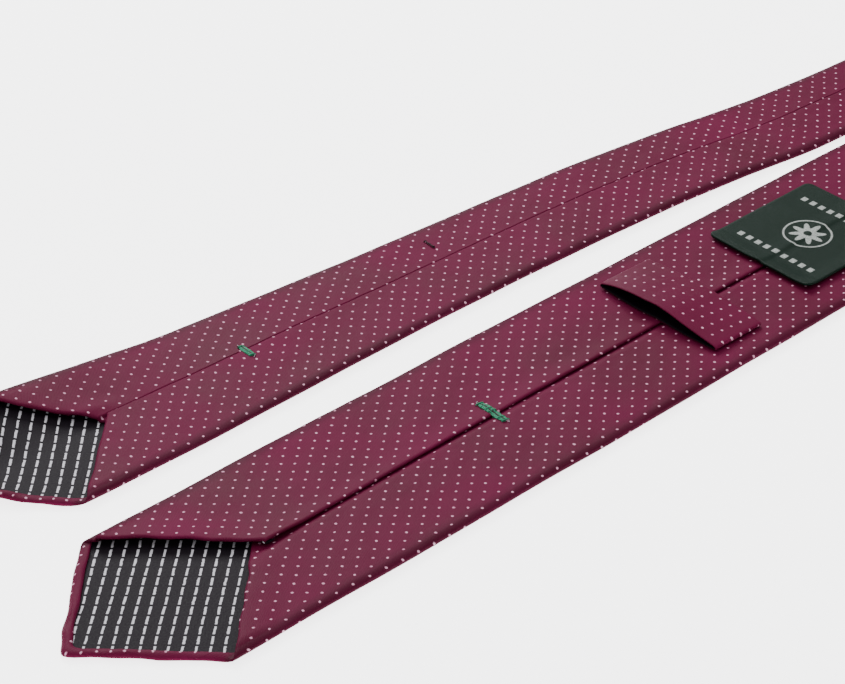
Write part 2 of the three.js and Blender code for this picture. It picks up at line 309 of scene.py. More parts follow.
FRONT = np.linspace(0, 1, 22) ** 1.15
FOLD = np.linspace(0, 1, 14)[1:-1]
UPPER_FLAP = 1 - (1 - np.linspace(0, 1, 26)) ** 1.4
UNDER_FLAP = 1 - (1 - np.linspace(0, 1, 22)) ** 1.5
TUCK = (0.3, 0.6, 0.9, 1.2, 1.6, 2.2, 3.2, 5, SEAM_OVERLAP + TUCK_START)
TURNED = [(0.35, 0.1), (0.75, 0.35), (0.7, 0.62), (0.3, 0.82), (-0.8, 0.9), (-3, 0.95), (-SEAM_TURN, 0.9)]
TURNED_DISTANCE = np.cumsum(np.hypot(*np.diff([(0, 0)] + TURNED, axis=0).T))
COLUMNS = (
    [("turned", -1, k) for k in range(len(TURNED))][::-1]
    + [("flap", -1, t) for t in UPPER_FLAP[::-1]]
    + [("fold", -1, t) for t in FOLD[::-1]]
    + [("front", -1, t) for t in FRONT[:0:-1]]
    + [("front", 1, t) for t in FRONT]
    + [("fold", 1, t) for t in FOLD]
    + [("flap", 1, t) for t in UNDER_FLAP]
    + [("tuck", 1, t) for t in TUCK]
)


def across_cloth(column, s):
    """u of a column at s. The left flap ends at the seam; the right flap runs on beneath it."""
    kind, side, share = column
    reach = front_reach(s)
    if kind == "front":
        return side * reach * share
    if kind == "fold":
        return side * (reach + FOLD_LENGTH * share)
    flap = reach + seam_at(s) if side < 0 else reach - seam_at(s) - TUCK_START
    if kind == "turned":
        return -(reach + FOLD_LENGTH + flap)
    if kind == "tuck":
        return reach + FOLD_LENGTH + flap + share
    return side * (reach + FOLD_LENGTH + flap * share)


def seam_looseness(s):
    """The seam is loose on the blade and drawn tight on the tail."""
    return 1 - 0.85 * smooth((s - BLADE_JOIN) / (TAIL_JOIN - BLADE_JOIN))


def upper_rise(s, v):
    return 0.52 * seam_looseness(s) * (1 - smooth(np.abs(v - seam_at(s)) / 7))


def under_sink(s, v):
    past = np.maximum(v - seam_at(s) - 0.5, 0)
    return -1.15 * (1 - smooth(past / (0.2 + 3.2 * seam_looseness(s))))


# ------------------------------------------------------------------ the three panels of cloth
# A rolled hem, from the raw edge tucked in it, out round the bead and on to the panel: (distance in
# from the point's edge, height on the reverse side)
ROLL = [
    (2.3, 0.45), (3.0, 0.5), (3.4, 0.75), (3.3, 1.15), (2.75, 1.48), (1.95, HEM_LIFT), (1.1, 1.42),
    (0.45, 1.08), (0.08, 0.7), (0.08, 0.33), (0.42, 0.07), (1.1, 0), (2.6, 0),
]
# A panel seam, from the panel out to its edge and under: (distance in from the edge, height inside)
JOINT = [(2.5, 0), (1.2, 0.02), (0.45, 0.14), (0.1, 0.42), (0.3, 0.72), (1.2, 0.85), (5, 0.85)]
POINT_ROUND = 2.2       # how blunt the point is
SLANT = math.sqrt(2)    # along the band for one across the cloth's slanting ends
END_ROOM = 5.0          # along the band, from an end to where the even rows begin


def point_start(u, s):
    """How far from the shoulders the cloth begins, along the band, at u across it."""
    corner = front_reach(s) + FOLD_LENGTH / 2
    rise = np.sqrt(u**2 + POINT_ROUND**2)
    return rise - corner


class Panel:
    """One panel of cloth between two ends, of which one may be pointed and hemmed."""

    def __init__(self, name, point, join_start, join_end, spacing, seed):
        self.name = name
        self.point = point
        self.join_start = join_start
        self.join_end = join_end
        self.spacing = spacing
        self.seed = seed

    def rows(self, low, high):
        """(which end, distance in from it, height inside) or (share, None, 0) for each row."""
        first = ROLL if self.point == "start" else JOINT[::-1]
        last = ROLL[::-1] if self.point == "end" else JOINT
        count = int((high - low) / self.spacing)
        middle = [("share", t, 0) for t in np.linspace(0, 1, count)[1:-1]]
        return [("start", d, lift) for d, lift in first] + middle + [("end", d, lift) for d, lift in last]

    def ends(self, u, s):
        """s where the cloth begins and ends, at u across it."""
        if self.point == "start":
            return point_start(u, s), self.join_end(u)
        if self.point == "end":
            return self.join_start(u), TAIL_SHOULDER - point_start(u, s)
        return self.join_start(u), self.join_end(u)

    def grid(self):
        """s, u and the height inside, for every point."""
        middle = np.array([TAIL_SHOULDER - 100.0 if self.point == "end" else 100.0])
        low, high = self.ends(np.zeros(1), middle)
        rows = self.rows(low[0], high[0])
        share = np.array([value if kind == "share" else 0 for kind, value, _ in rows])
        at_start = np.array([kind == "start" for kind, _, _ in rows])
        at_end = np.array([kind == "end" for kind, _, _ in rows])
        inward = np.array([0 if kind == "share" else value for kind, value, _ in rows]) * SLANT
        s = np.zeros((len(rows), len(COLUMNS)))
        u = np.zeros_like(s)
        for j, column in enumerate(COLUMNS):
            station = np.full(len(rows), (low[0] + high[0]) / 2)
            for _ in range(12):
                start, end = self.ends(across_cloth(column, station), station)
                station = start + END_ROOM + (end - start - 2 * END_ROOM) * share
                station = np.where(at_start, start + inward, station)
                station = np.where(at_end, end - inward, station)
            s[:, j], u[:, j] = station, across_cloth(column, station)
        lift = np.broadcast_to(np.array([height for _, _, height in rows])[:, None], s.shape)
        return s, u, lift


def from_point_edge(panel, s, u):
    """Distance in the cloth from the pointed end's slanting edge."""
    if panel.point == "start":
        return (s - point_start(u, s)) / SLANT
    if panel.point == "end":
        return (TAIL_SHOULDER - point_start(u, s) - s) / SLANT
    return np.full_like(s, 1000.0)


def shaped(panel):
    """Points of the panel's grid, in the row frame."""
    s, u, inside = panel.grid()
    v, h = section(s, u)
    turned = np.array([TURNED[c[2]] if c[0] == "turned" else (0, 0) for c in COLUMNS])
    is_turned = np.array([c[0] == "turned" for c in COLUMNS])[None, :]
    on_flap = np.array([c[0] in ("flap", "turned", "tuck") for c in COLUMNS])[None, :]
    left = np.array([c[1] < 0 for c in COLUMNS])[None, :]
    v = v + np.where(is_turned, turned[None, :, 0], 0)

    # The upper flap's edge stands up a little on its seam allowance; the other flap sinks below it
    loose = seam_looseness(s)
    h = h + np.where(on_flap, np.where(left, upper_rise(s, v), under_sink(s, v)), 0)
    h = h - np.where(is_turned, turned[None, :, 1], 0) * (0.6 + 0.4 * loose)

    # Uneven cloth: soft ripples on the flaps, wandering edges
    top = smooth((h - BAND / 2) / (BAND / 2))
    h = h + top * 0.16 * ripple(s, v, 38, panel.seed) + top * 0.07 * ripple(s, v, 11, panel.seed + 1)
    edge = from_point_edge(panel, s, u)
    side_edge = smooth((np.abs(v) / (width_at(s) / 2) - 0.8) / 0.2)
    v = v + side_edge * np.sign(v) * 0.22 * ripple(s, 0 * s, 60, panel.seed + 2)

    # The flaps' edges stand open over the point; hems are uneven beads
    gape = np.where(left, 1.7, 0.35) if panel.point == "start" else np.where(left, 0.3, 1.2)
    open_edge = 1 - smooth(edge / 16)
    clear = np.where(left, 1, smooth((v - seam_at(s) - 0.5) / 6))
    h = h + np.where(on_flap, gape * open_edge * clear, 0)
    bead = 1 + 0.2 * ripple(s, u, 9, panel.seed + 3)
    along_edge = np.sign(u) * np.minimum(np.abs(u), 2 * front_reach(s))
    s_wander = 0.75 * ripple(along_edge, 0 * s, 16, panel.seed + 4) * (1 - smooth(edge / 9))
    crowded = 1 - 0.4 * np.exp(-((np.abs(u) - front_reach(s) - FOLD_LENGTH / 2) / 4) ** 2)
    hemmed = edge < ROLL[-1][0] + 0.5
    inside = inside * np.where(hemmed, bead * crowded, 1)

    points = lay(s + s_wander, v, h)
    if panel.point == "end":
        points = points + tail_curl(s, v)
    points = points - section_normals(s, u, v) * inside[..., None]
    return s, u, points


def tail_curl(s, v):
    """The tail's far side and its point stand off the table."""
    x = tail_station(s)
    side = 7.6 * (1 - smooth((x + 5) / 110)) * smooth(v / (width_at(s) / 2) * 0.9)
    point = 3.4 * smooth((14 - x) / 40) * (1 - 0.5 * smooth(v / (width_at(s) / 2)))
    lift = np.zeros(s.shape + (3,))
    lift[..., 2] = side + point
    return lift


def section_normals(s, u, v):
    """The cloth's outward direction at each point, from the plain section."""
    step = 0.4
    before, after = section(s, u - step), section(s, u + step)
    dv, dh = after[0] - before[0], after[1] - before[1]
    size = np.maximum(np.hypot(dv, dh), 1e-6)
    return lay(s, v, 0, nv=dh / size, nh=-dv / size)[1]


# ------------------------------------------------------------------ the woven pattern on the cloth
class Pattern:
    """Dots at whole numbers of (p, q), set by two steps of the pattern and a dot on each flap.

    A third coordinate sets painted shade: 1 in the side folds, which are darkened, 0 on the flat cloth and 2
    on the keeper's inside, which is turned nearly black."""

    def __init__(self, step_p, step_q, middle, left_dot, right_dot):
        self.inverse = np.linalg.inv(np.array([step_p, step_q], float).T)
        self.reach = float(front_reach(middle))
        self.left_dot, self.right_dot = left_dot, right_dot
        across = 2 * self.reach + FOLD_LENGTH
        left, right = (self.flat(middle, 0.0, *place) for place in ((across, left_dot), (-across, right_dot)))
        self.keep = np.round(right - left)

    def flat(self, s, u, shift, dot):
        place = np.stack(np.broadcast_arrays(s - dot[0], u + shift - dot[1]), -1)
        return place @ self.inverse.T

    def at(self, s, u):
        across = 2 * self.reach + FOLD_LENGTH
        left = self.flat(s, u, across, self.left_dot) + self.keep
        right = self.flat(s, u, -across, self.right_dot)
        share = smooth((u + self.reach) / (2 * self.reach))[..., None]
        both = left + (right - left) * share
        folded = (np.abs(u) - front_reach(s)) / FOLD_LENGTH
        # Painted shade: how far the side folds are darkened, standing in for the shade that falls on them
        painted_shade = smooth(folded / 0.25) * (1 - smooth((folded - 0.72) / 0.5))
        return np.concatenate([both, painted_shade[..., None]], -1)


BLADE_PATTERN = Pattern((3.62, -3.39), (3.50, 3.10), 130.0, (131.4, 22.3), (130.5, -23.3))
NECK_PATTERN = Pattern((3.62, -3.39), (3.50, 3.10), APEX, (700, 8), (702, -9))
TAIL_PATTERN = Pattern(
    (3.39, -3.59), (3.38, 3.20), tail_station(160),
    (tail_station(140.5), 9.1), (tail_station(188.5) - 1.4, -11.4),
)


# ------------------------------------------------------------------ materials
class Nodes:
    """Short ways to add shader nodes to one material."""

    def __init__(self, name):
        self.material = bpy.data.materials.new(name)
        self.material.use_nodes = True
        self.tree = self.material.node_tree
        self.shader = self.tree.nodes["Principled BSDF"]

    def add(self, kind, inputs=(), **settings):
        node = self.tree.nodes.new(kind)
        for key, value in settings.items():
            setattr(node, key, value)
        for key, value in dict(inputs).items():
            self.put(node.inputs[key], value)
        return node

    def put(self, socket, value):
        if isinstance(value, bpy.types.NodeSocket):
            self.tree.links.new(value, socket)
        else:
            socket.default_value = value

    def set(self, **inputs):
        for key, value in inputs.items():
            self.put(self.shader.inputs[key.replace("_", " ")], value)

    def math(self, operation, *values):
        node = self.add("ShaderNodeMath", operation=operation)
        for k, value in enumerate(values):
            self.put(node.inputs[k], value)
        return node.outputs[0]

    def cloth(self):
        return self.add("ShaderNodeAttribute", attribute_name="cloth").outputs["Vector"]

    def split(self, vector):
        return self.add("ShaderNodeSeparateXYZ", {"Vector": vector}).outputs[:3]

    def scaled(self, vector, x, y, z=1.0):
        node = self.add("ShaderNodeVectorMath", operation="MULTIPLY")
        self.put(node.inputs[0], vector)
        self.put(node.inputs[1], (x, y, z))
        return node.outputs[0]

    def noise(self, vector, scale, detail=2.0, roughness=0.5):
        inputs = {"Vector": vector, "Scale": scale, "Detail": detail, "Roughness": roughness}
        return self.add("ShaderNodeTexNoise", inputs).outputs["Fac"]

    def ramp(self, value, low, high, to_low=0.0, to_high=1.0):
        inputs = {"Value": value, "From Min": low, "From Max": high, "To Min": to_low, "To Max": to_high}
        return self.add("ShaderNodeMapRange", inputs).outputs["Result"]

    def mix(self, factor, first, second):
        node = self.add("ShaderNodeMix", data_type="RGBA")
        self.put(node.inputs[0], factor)
        self.put(node.inputs[6], first)
        self.put(node.inputs[7], second)
        return node.outputs[2]

    def bump(self, height, distance, strength=1.0):
        inputs = {"Height": height, "Distance": distance, "Strength": strength}
        return self.add("ShaderNodeBump", inputs).outputs["Normal"]

    def off_whole(self, value):
        """How far a coordinate is from the nearest whole number."""
        return self.math("ABSOLUTE", self.math("SUBTRACT", value, self.math("ROUND", value)))


def colour(red, green, blue):
    """A linear colour from display values between 0 and 255."""
    parts = [c / 255 for c in (red, green, blue)]
    return tuple(c / 12.92 if c <= 0.04045 else ((c + 0.055) / 1.055) ** 2.4 for c in parts) + (1.0,)


def silk_face(name, dark, light):
    """Twill silk with woven dots at whole numbers of its pattern coordinates, and painted shade in the side
    folds and inside the keeper.
    """
    n = Nodes(name)
    cloth = n.cloth()
    p, q, painted_shade = n.split(cloth)
    flat = n.scaled(cloth, 1.0, 1.0, 0.0)
    worn = n.noise(flat, 0.11, 3.0)
    fine = n.noise(flat, 9.0, 2.0)
    twill = n.math("SINE", n.math("MULTIPLY", n.math("ADD", p, n.math("MULTIPLY", q, 0.35)), 56.0))
    shift = n.ramp(n.noise(flat, 1.7, 1.0), 0.3, 0.7, -0.035, 0.035)
    away_p = n.off_whole(n.math("ADD", p, shift))
    away_q = n.off_whole(n.math("SUBTRACT", q, shift))
    away = n.math("SQRT", n.math("ADD", n.math("POWER", away_p, 2.0), n.math("POWER", away_q, 2.0)))
    away = n.math("ADD", away, n.ramp(fine, 0.3, 0.7, -0.02, 0.02))
    dot = n.ramp(away, 0.12, 0.065)
    ground = n.mix(n.ramp(worn, 0.3, 0.7), dark, light)
    ground = n.mix(n.ramp(twill, -1.0, 1.0, 0.0, 0.22), ground, colour(42, 3, 16))
    # Painted shade: the ground is darkened in the side folds
    ground = n.mix(n.ramp(painted_shade, 0.0, 1.0, 0.0, 0.5), ground, colour(34, 3, 14))
    thread = n.mix(n.ramp(fine, 0.35, 0.65), colour(190, 112, 146), colour(246, 198, 218))
    # Painted shade: the keeper's inside is turned nearly black
    inside = n.ramp(painted_shade, 1.2, 1.8)
    n.set(Base_Color=n.mix(inside, n.mix(dot, ground, thread), colour(12, 6, 14)))
    n.set(Roughness=n.ramp(worn, 0.3, 0.7, 0.5, 0.62))
    n.set(Sheen_Weight=0.02, Sheen_Roughness=0.4, Sheen_Tint=colour(214, 90, 140), Specular_IOR_Level=0.07)
    height = n.math("ADD", n.math("MULTIPLY", dot, 0.6), n.math("MULTIPLY", n.ramp(twill, -1.0, 1.0), 0.25))
    height = n.math("ADD", height, n.math("MULTIPLY", fine, 0.5))
    n.set(Normal=n.bump(height, 0.00012))
    return n.material


def silk_reverse(name):
    """The reverse of the silk, where the dots' threads float as broken white lines."""
    n = Nodes(name)
    cloth = n.scaled(n.cloth(), 1.0, 1.0, 0.0)
    p, q, _ = n.split(cloth)
    fine = n.noise(cloth, 7.0, 3.0)
    wander = n.ramp(n.noise(cloth, 1.3, 2.0), 0.3, 0.7, -0.03, 0.03)
    across = n.off_whole(n.math("ADD", q, wander))
    line = n.ramp(n.math("ADD", across, n.ramp(fine, 0.3, 0.7, -0.02, 0.02)), 0.112, 0.07)
    gap = n.ramp(n.off_whole(p), 0.085, 0.125)
    float_thread = n.math("MULTIPLY", line, gap)
    strand = n.math("SINE", n.math("MULTIPLY", p, 75.0))
    ground = n.mix(n.ramp(fine, 0.3, 0.7), colour(7, 3, 10), colour(21, 10, 22))
    white = n.mix(n.ramp(strand, -1.0, 1.0, 0.0, 0.5), colour(228, 226, 232), colour(176, 170, 184))
    n.set(Base_Color=n.mix(float_thread, ground, white), Roughness=n.ramp(fine, 0.3, 0.7, 0.6, 0.75))
    n.set(Sheen_Weight=0.03, Sheen_Roughness=0.5, Specular_IOR_Level=0.15)
    n.set(Normal=n.bump(n.math("ADD", n.math("MULTIPLY", float_thread, 1.5), fine), 0.00012))
    return n.material


def thread_material(name, dark, light, twist=40.0):
    """Twisted thread: pattern coordinates run (along, around)."""
    n = Nodes(name)
    cloth = n.cloth()
    p, q, _ = n.split(cloth)
    ply = n.math("SINE", n.math("ADD", n.math("MULTIPLY", p, twist), n.math("MULTIPLY", q, 6.283)))
    fine = n.noise(cloth, 6.0, 2.0)
    tone = n.math("ADD", n.ramp(ply, -1.0, 1.0, 0.0, 0.6), n.ramp(fine, 0.3, 0.7, 0.0, 0.4))
    n.set(Base_Color=n.mix(tone, dark, light), Roughness=n.ramp(fine, 0.3, 0.7, 0.45, 0.65))
    n.set(Sheen_Weight=0.05, Specular_IOR_Level=0.25, Normal=n.bump(ply, 0.00006))
    return n.material


def wool_material(name):
    """Brushed wool interlining with a loose plain weave."""
    n = Nodes(name)
    cloth = n.cloth()
    p, q, _ = n.split(cloth)
    warp, weft = (n.math("SINE", n.math("MULTIPLY", place, 26.0)) for place in (p, q))
    weave = n.math("MULTIPLY", warp, weft)
    fuzz = n.noise(cloth, 5.0, 4.0, 0.7)
    tone = n.math("ADD", n.ramp(weave, -1.0, 1.0, 0.0, 0.5), n.math("MULTIPLY", fuzz, 0.5))
    n.set(Base_Color=n.mix(tone, colour(186, 178, 164), colour(226, 220, 208)))
    n.set(Roughness=n.ramp(fuzz, 0.3, 0.7, 0.85, 0.98))
    n.set(Sheen_Weight=0.3, Normal=n.bump(tone, 0.0002))
    return n.material


def label_material(name):
    """Dark green satin with a plain woven device: a rosette between rows of small bars.

    The pattern coordinates are millimetres from the label's middle."""
    n = Nodes(name)
    cloth = n.cloth()
    x, y, _ = n.split(cloth)
    fine = n.noise(cloth, 1.6, 3.0)
    rib = n.math("SINE", n.math("MULTIPLY", y, 14.0))
    away = n.math("SQRT", n.math("ADD", n.math("POWER", x, 2.0), n.math("POWER", y, 2.0)))
    turn = n.math("ARCTAN2", y, x)
    petal = n.math("ADD", 5.6, n.math("MULTIPLY", n.math("COSINE", n.math("MULTIPLY", turn, 8.0)), 1.9))
    flower = n.math("MULTIPLY", n.ramp(n.math("SUBTRACT", petal, away), -0.15, 0.25), n.ramp(away, 1.5, 1.9))
    ring = n.ramp(n.math("ABSOLUTE", n.math("SUBTRACT", away, 9.6)), 0.55, 0.25)
    row = n.ramp(n.math("ABSOLUTE", n.math("SUBTRACT", n.math("ABSOLUTE", x), 19.0)), 1.5, 1.2)
    bar = n.ramp(n.off_whole(n.math("MULTIPLY", y, 0.22)), 0.30, 0.24)
    inside = n.ramp(n.math("ABSOLUTE", y), 19.6, 19.3)
    bars = n.math("MULTIPLY", n.math("MULTIPLY", row, bar), inside)
    device = n.math("MAXIMUM", n.math("MAXIMUM", flower, ring), bars)
    ground = n.mix(n.ramp(fine, 0.3, 0.7), colour(2, 24, 15), colour(6, 34, 23))
    ground = n.mix(n.ramp(rib, -1.0, 1.0, 0.0, 0.3), ground, colour(3, 16, 11))
    white = n.mix(n.ramp(fine, 0.35, 0.65), colour(128, 136, 132), colour(188, 192, 188))
    n.set(Base_Color=n.mix(device, ground, white), Roughness=n.ramp(fine, 0.3, 0.7, 0.42, 0.56))
    n.set(Sheen_Weight=0.015, Specular_IOR_Level=0.1)
    n.set(Normal=n.bump(n.math("ADD", n.math("MULTIPLY", device, 1.5), n.math("MULTIPLY", rib, 0.3)), 0.0001))
    return n.material


SHELL_DARK = colour(86, 7, 42)
SHELL_LIGHT = colour(105, 14, 58)
SILK = silk_face("silk_dotted", SHELL_DARK, SHELL_LIGHT)
REVERSE = silk_reverse("silk_reverse")
WOOL = wool_material("interlining_wool")
GREEN = thread_material("green_thread", colour(10, 96, 66), colour(58, 170, 128))
DARK = thread_material("dark_thread", colour(34, 14, 24), colour(70, 32, 48))
PALE = thread_material("pale_thread", colour(140, 126, 136), colour(206, 196, 204))
LABEL_CLOTH = label_material("label_woven")


# ------------------------------------------------------------------ shell panels
def make_panel(panel, pattern):
    s, u, points = shaped(panel)
    under = np.array([TURNED_DISTANCE[k] if kind == "turned" else 0 for kind, _, k in COLUMNS])
    return thick_sheet(panel.name, points, pattern.at(s, u - under), CLOTH, SILK, REVERSE)


BLADE = Panel("blade_panel", "start", None, lambda u: BLADE_JOIN - u, 2.4, 11)
NECK = Panel("neck_panel", None, lambda u: BLADE_JOIN - u, lambda u: TAIL_JOIN + u, 2.6, 23)
TAIL = Panel("tail_panel", "end", lambda u: TAIL_JOIN + u, None, 2.4, 37)
blade_panel = make_panel(BLADE, BLADE_PATTERN)
neck_panel = make_panel(NECK, NECK_PATTERN)
tail_panel = make_panel(TAIL, TAIL_PATTERN)


# ------------------------------------------------------------------ interlining
WOOL_THICKNESS = 0.95
WOOL_HEIGHT = 0.98      # of its middle above the front face
SIDE_ROOM = 2.6         # from the band's edge to the wool's
NOTCH_ROOM = 5
JOIN_ROOM = 1.5


def make_interlining(name, start, end, curled=False):
    """A strip of wool inside the fold, a little narrower than the front."""
    s = np.arange(start, end, 3.0)[:, None]
    share = np.linspace(-1, 1, 17)[None, :]
    v = share * (width_at(s) / 2 - SIDE_ROOM)
    points = lay(s, v, WOOL_HEIGHT)
    if curled:
        points = points + tail_curl(s + 0 * v, v)
    cloth = np.stack(np.broadcast_arrays(s / WEAVE, v / WEAVE, 0 * v), -1)
    return thick_sheet(name, points, cloth, WOOL_THICKNESS, WOOL, WOOL)


blade_notch = BLADE_WIDTH / 2 + NOTCH_ROOM
tail_notch = TAIL_SHOULDER - TAIL_WIDTH / 2 - NOTCH_ROOM
blade_interlining = make_interlining("blade_interlining_cloth", blade_notch, BLADE_JOIN)
neck_interlining = make_interlining("neck_interlining_cloth", BLADE_JOIN + JOIN_ROOM, TAIL_JOIN - JOIN_ROOM)
tail_interlining = make_interlining("tail_interlining_cloth", TAIL_JOIN, tail_notch, curled=True)


# ------------------------------------------------------------------ threads
THREAD_SIDES = 8
PLY_LENGTH = 4          # length of thread for one unit of its pattern


def thread_piece(name, paths, material, radius):
    """One object of several round threads; each path is an array of points in millimetres."""
    parts, coordinates = [], []
    for path in paths:
        parts.append(tube(path, radius, THREAD_SIDES))
        steps = np.linalg.norm(np.diff(path, axis=0), axis=1)
        length = np.concatenate([[0], np.cumsum(steps)])[:, None] / PLY_LENGTH
        around = np.abs(np.linspace(-1, 1, THREAD_SIDES, endpoint=False))[None, :]
        coordinates.append(np.stack(np.broadcast_arrays(length, around, 0 * length), -1).reshape(-1, 3))
    points, faces = joined(parts)
    return mesh_piece(name, points, faces, [material], cloth=np.concatenate(coordinates))


STITCH_LENGTH = 14
STITCH_HEIGHT = 1.72    # between the wool and the flaps
STITCH_INSET = 2.6      # from the seam to the stitches' middle


def make_slip_stitch(name, start, end):
    """A loose zigzag under the upper flap's edge, in long stitches."""
    s = np.arange(start, end, 2.0)
    turn = 2 * math.pi * s / STITCH_LENGTH
    v = seam_at(s) - STITCH_INSET + 0.9 * np.sin(turn)
    path = lay(s, v, STITCH_HEIGHT + 0.08 * np.cos(turn))
    return thread_piece(name, [path], DARK, radius=0.13)


BLADE_TACK_S, BLADE_TACK_V = 154.5, 0.5
TAIL_TACK_S, TAIL_TACK_V = tail_station(113.6), 1.4
TAIL_MARK_S, TAIL_MARK_V = tail_station(213.4), 13.8
blade_stitch = make_slip_stitch("slip_stitch_blade_thread", BLADE_TACK_S, BLADE_JOIN - 4)
neck_stitch = make_slip_stitch("slip_stitch_neck_thread", BLADE_JOIN, TAIL_JOIN)
tail_stitch = make_slip_stitch("slip_stitch_tail_thread", TAIL_JOIN + 4, TAIL_TACK_S)


def top_of_cloth(v, s):
    """Height of the flaps' upper surface near the seam."""
    return BAND + np.where(v < seam_at(s) + 0.4, upper_rise(s, v), under_sink(s, v))


def seam_profile(v, s):
    """Height of the flaps' upper surface along a line across the seam, softened as cloth under tension."""
    spread = 25
    window = 2 * spread + 1
    fine = np.linspace(v[0] - 2, v[-1] + 2, 161)
    soft = np.convolve(np.pad(top_of_cloth(fine, s), spread, "edge"), np.ones(window) / window, "valid")
    return np.interp(v, fine, soft)


def bar_strand(s0, v0, share, length, width, wander):
    """One long stitch of a bar, at share of the way from its middle to its edge."""
    t = np.linspace(-1, 1, 29)
    half = length / 2 * (1 - 0.1 * share**2) + wander[0]
    v = v0 + t * half
    s = s0 + share * (width / 2) * (1 - 0.45 * np.abs(t) ** 5) + wander[1]
    return lay(s, v, seam_profile(v, s0) + 0.3 + 0.28 * (1 - share**2) - 0.42 * np.abs(t) ** 10)


def make_bar_tack(name, s0, v0, length, width, material, shares, seed, radius=0.23):
    """Long stitches across the seam at the given shares of the width, bound by short stitches, over a dark
    thread core that paints the shade between the stitches.
    """
    rng = np.random.default_rng(seed)
    paths = [bar_strand(s0, v0, k, length, width, rng.uniform(-1, 1, 2) * (0.2, 0.04)) for k in shares]
    bindings = max(2, round(length / 2.6))
    for k in range(bindings + 1):
        v = v0 + (k / bindings - 0.5) * (length - 1.2) + rng.uniform(-0.15, 0.15)
        t = np.linspace(-1, 1, 13)
        across = np.array([v - 0.01, v + 0.01])
        top = seam_profile(across, s0)[0] + 0.02 + 0.72 * np.maximum(1 - t**2, 0) ** 0.4
        paths.append(lay(s0 + t * width * 0.56, v + 0.35 * t, top))
    tack = thread_piece(name, paths, material, radius)
    # Painted shade: a dark thread low in the middle, standing for the shade in the gaps between the stitches
    shade_core_path = bar_strand(s0, v0, 0, length * 0.86, width, (0, 0))
    shade_core = thread_piece(name + "_core", [shade_core_path], DARK, radius * 1.3)
    shade_core.parent = tack
    return tack


def add_thread_ends(tack, s0, v0, length):
    """A small knot and a loose pale end at each end of a tack."""
    paths = []
    for side, turn in ((-1, 4.2), (1, 2.6)):
        t = np.linspace(0, 1, 14)
        v = v0 + side * (length / 2 - 0.3 + 1.5 * t)
        s = s0 + 0.9 * side * np.sin(t * turn) * (1 - 0.4 * t)
        paths.append(lay(s, v, top_of_cloth(v, s0) + 0.22 + 0.22 * np.sin(t * 3.1)))
    ends = thread_piece(tack.name + "_ends", paths, PALE, radius=0.14)
    ends.parent = tack


BLADE_TACK_LENGTH, TAIL_TACK_LENGTH, TAIL_MARK_LENGTH = 14.7, 8.0, 6.2
TWO_BUNDLES = (-1, -0.78, -0.56, -0.36, 0.36, 0.56, 0.78, 1)
TWO_STRANDS = (-0.5, 0.5)
blade_tack = make_bar_tack(
    "blade_tack_threads", BLADE_TACK_S, BLADE_TACK_V, BLADE_TACK_LENGTH, 2.8, GREEN, TWO_BUNDLES, seed=5
)
tail_tack = make_bar_tack(
    "tail_tack_threads", TAIL_TACK_S, TAIL_TACK_V, TAIL_TACK_LENGTH, 2.2, GREEN, TWO_BUNDLES, seed=6
)
tail_mark = make_bar_tack(
    "tail_dark_mark", TAIL_MARK_S, TAIL_MARK_V, TAIL_MARK_LENGTH, 0.8, DARK, TWO_STRANDS, seed=7, radius=0.14
)
add_thread_ends(blade_tack, BLADE_TACK_S, BLADE_TACK_V, BLADE_TACK_LENGTH)
add_thread_ends(tail_tack, TAIL_TACK_S, TAIL_TACK_V, TAIL_TACK_LENGTH)


# ------------------------------------------------------------------ keeper loop
KEEPER_START, KEEPER_LENGTH, KEEPER_WIDTH, KEEPER_MIDDLE = 242, 26, 60, 0.6
KEEPER_CLOTH = 0.9
KEEPER_GAP = 4.6        # inside the loop at its mouth
KEEPER_DOTS = 5         # distance between the dots
KEEPER_CLOSING = 3.1    # how much flatter it is at its far end


def keeper_path(turn, x):
    """y and z of the loop's cloth, for the angle round it and the distance x from its mouth.

    It's tallest just past its middle, and flattens slowly to the near side and fast to the far one."""
    shape = np.cos(turn)
    y = KEEPER_MIDDLE + (KEEPER_WIDTH - KEEPER_CLOTH) / 2 * np.sign(shape) * np.abs(shape) ** 0.42
    share = (y - KEEPER_MIDDLE) / (KEEPER_WIDTH / 2)
    gap = KEEPER_GAP + KEEPER_CLOTH - KEEPER_CLOSING * smooth(x / KEEPER_LENGTH)
    tall = 0.22 + 0.78 * np.sqrt(smooth((1 - share) / 0.7)) * smooth((share + 1.1) / 1.15)
    half = 0.42 + gap / 2 * 0.92 * tall
    rise = np.sin(turn)
    low = BAND + 0.55 + 0.42 * np.exp(-((y + 0.7) / 6) ** 2)
    z = low + half + half * np.sign(rise) * np.abs(rise) ** 0.5
    return y, z


